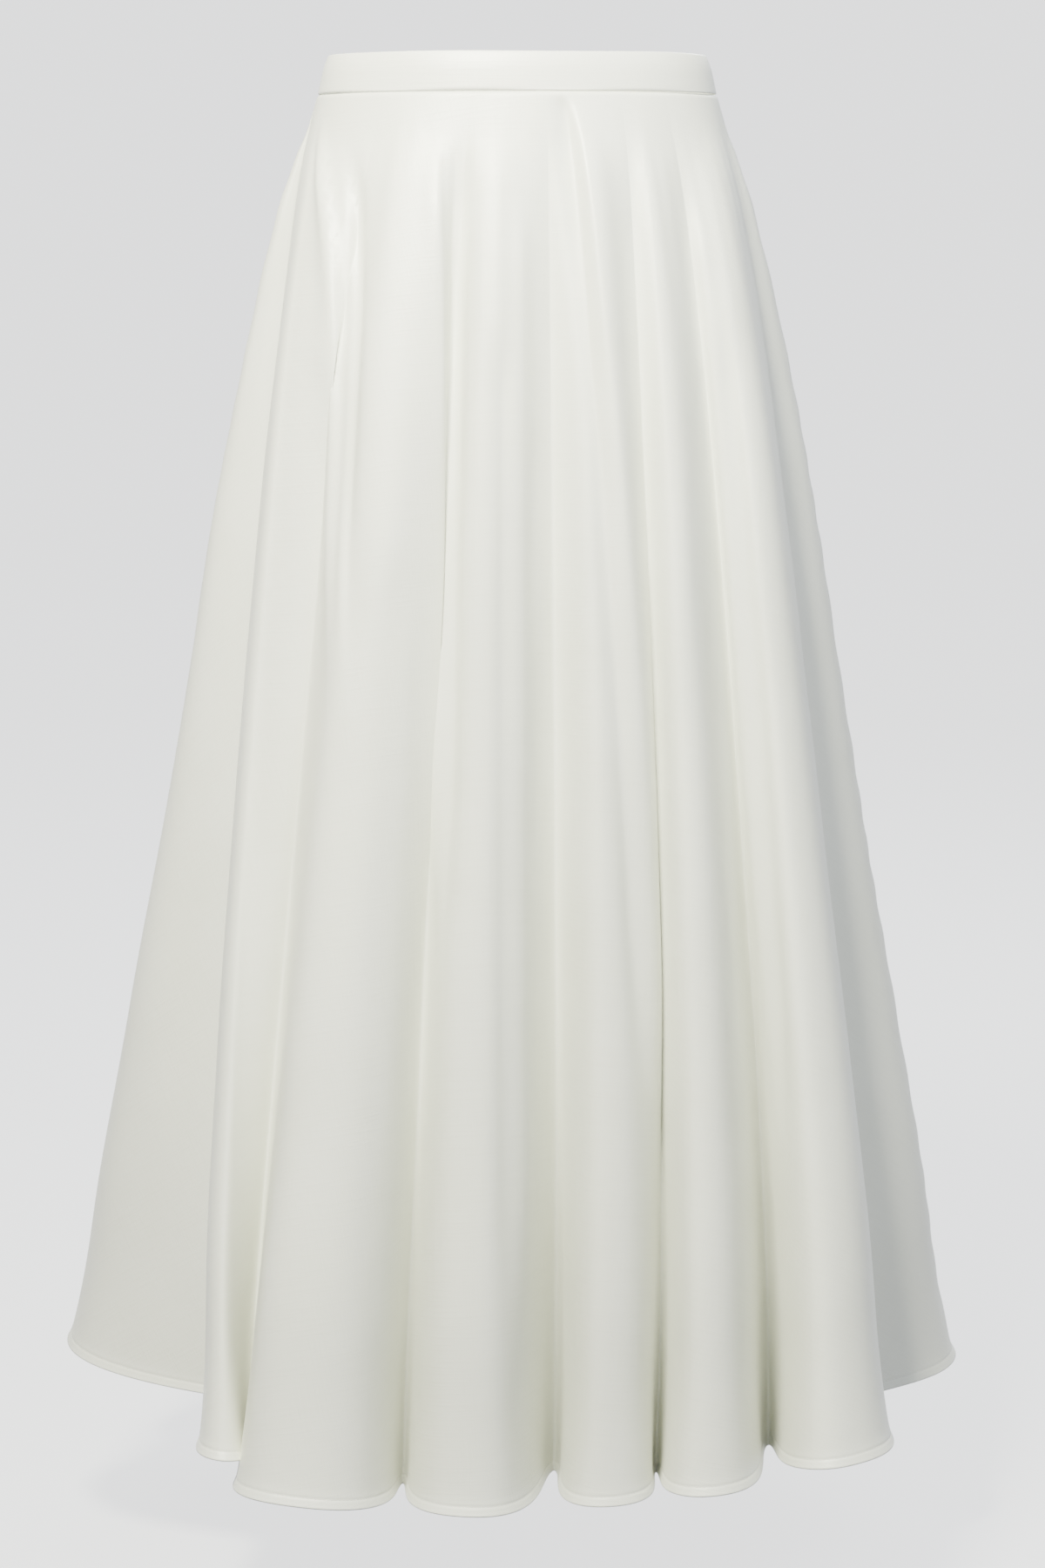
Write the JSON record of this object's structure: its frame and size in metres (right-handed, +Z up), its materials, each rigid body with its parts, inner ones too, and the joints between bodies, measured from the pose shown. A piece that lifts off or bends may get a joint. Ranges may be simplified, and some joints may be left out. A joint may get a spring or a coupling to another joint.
{
  "type": "skirt",
  "caption": "Long flared skirt in plain ivory cloth, filled out as if worn: a narrow plain waistband, soft unpressed folds that deepen to the hem, and a concealed zip behind.",
  "frame": {"origin": "centre of the waistband, at half its height", "axes": "+Z up through the waist, front towards -Y, the wearer's left towards +X"},
  "size_m": [0.6455, 0.5929, 0.9544],
  "materials": {
    "cloth": "matt plain weave with a soft sheen",
    "zip_metal": "ivory lacquer, satin"
  },
  "bodies": {
    "garment": {"waistband": "cloth", "front_panel": "cloth", "back_right_panel": "cloth", "back_left_panel": "cloth", "zip_tape": "cloth", "zip_slider": "zip_metal"},
    "pull_tab": {"zip_pull": "zip_metal"}
  },
  "joints": [
    {"name": "pull_swing", "type": "hinge", "parent": "garment", "child": "pull_tab", "pos_m": [0, 0.09339, 0.00829], "axis": [1, 0, 0], "range_deg": [0, 150]}
  ]
}
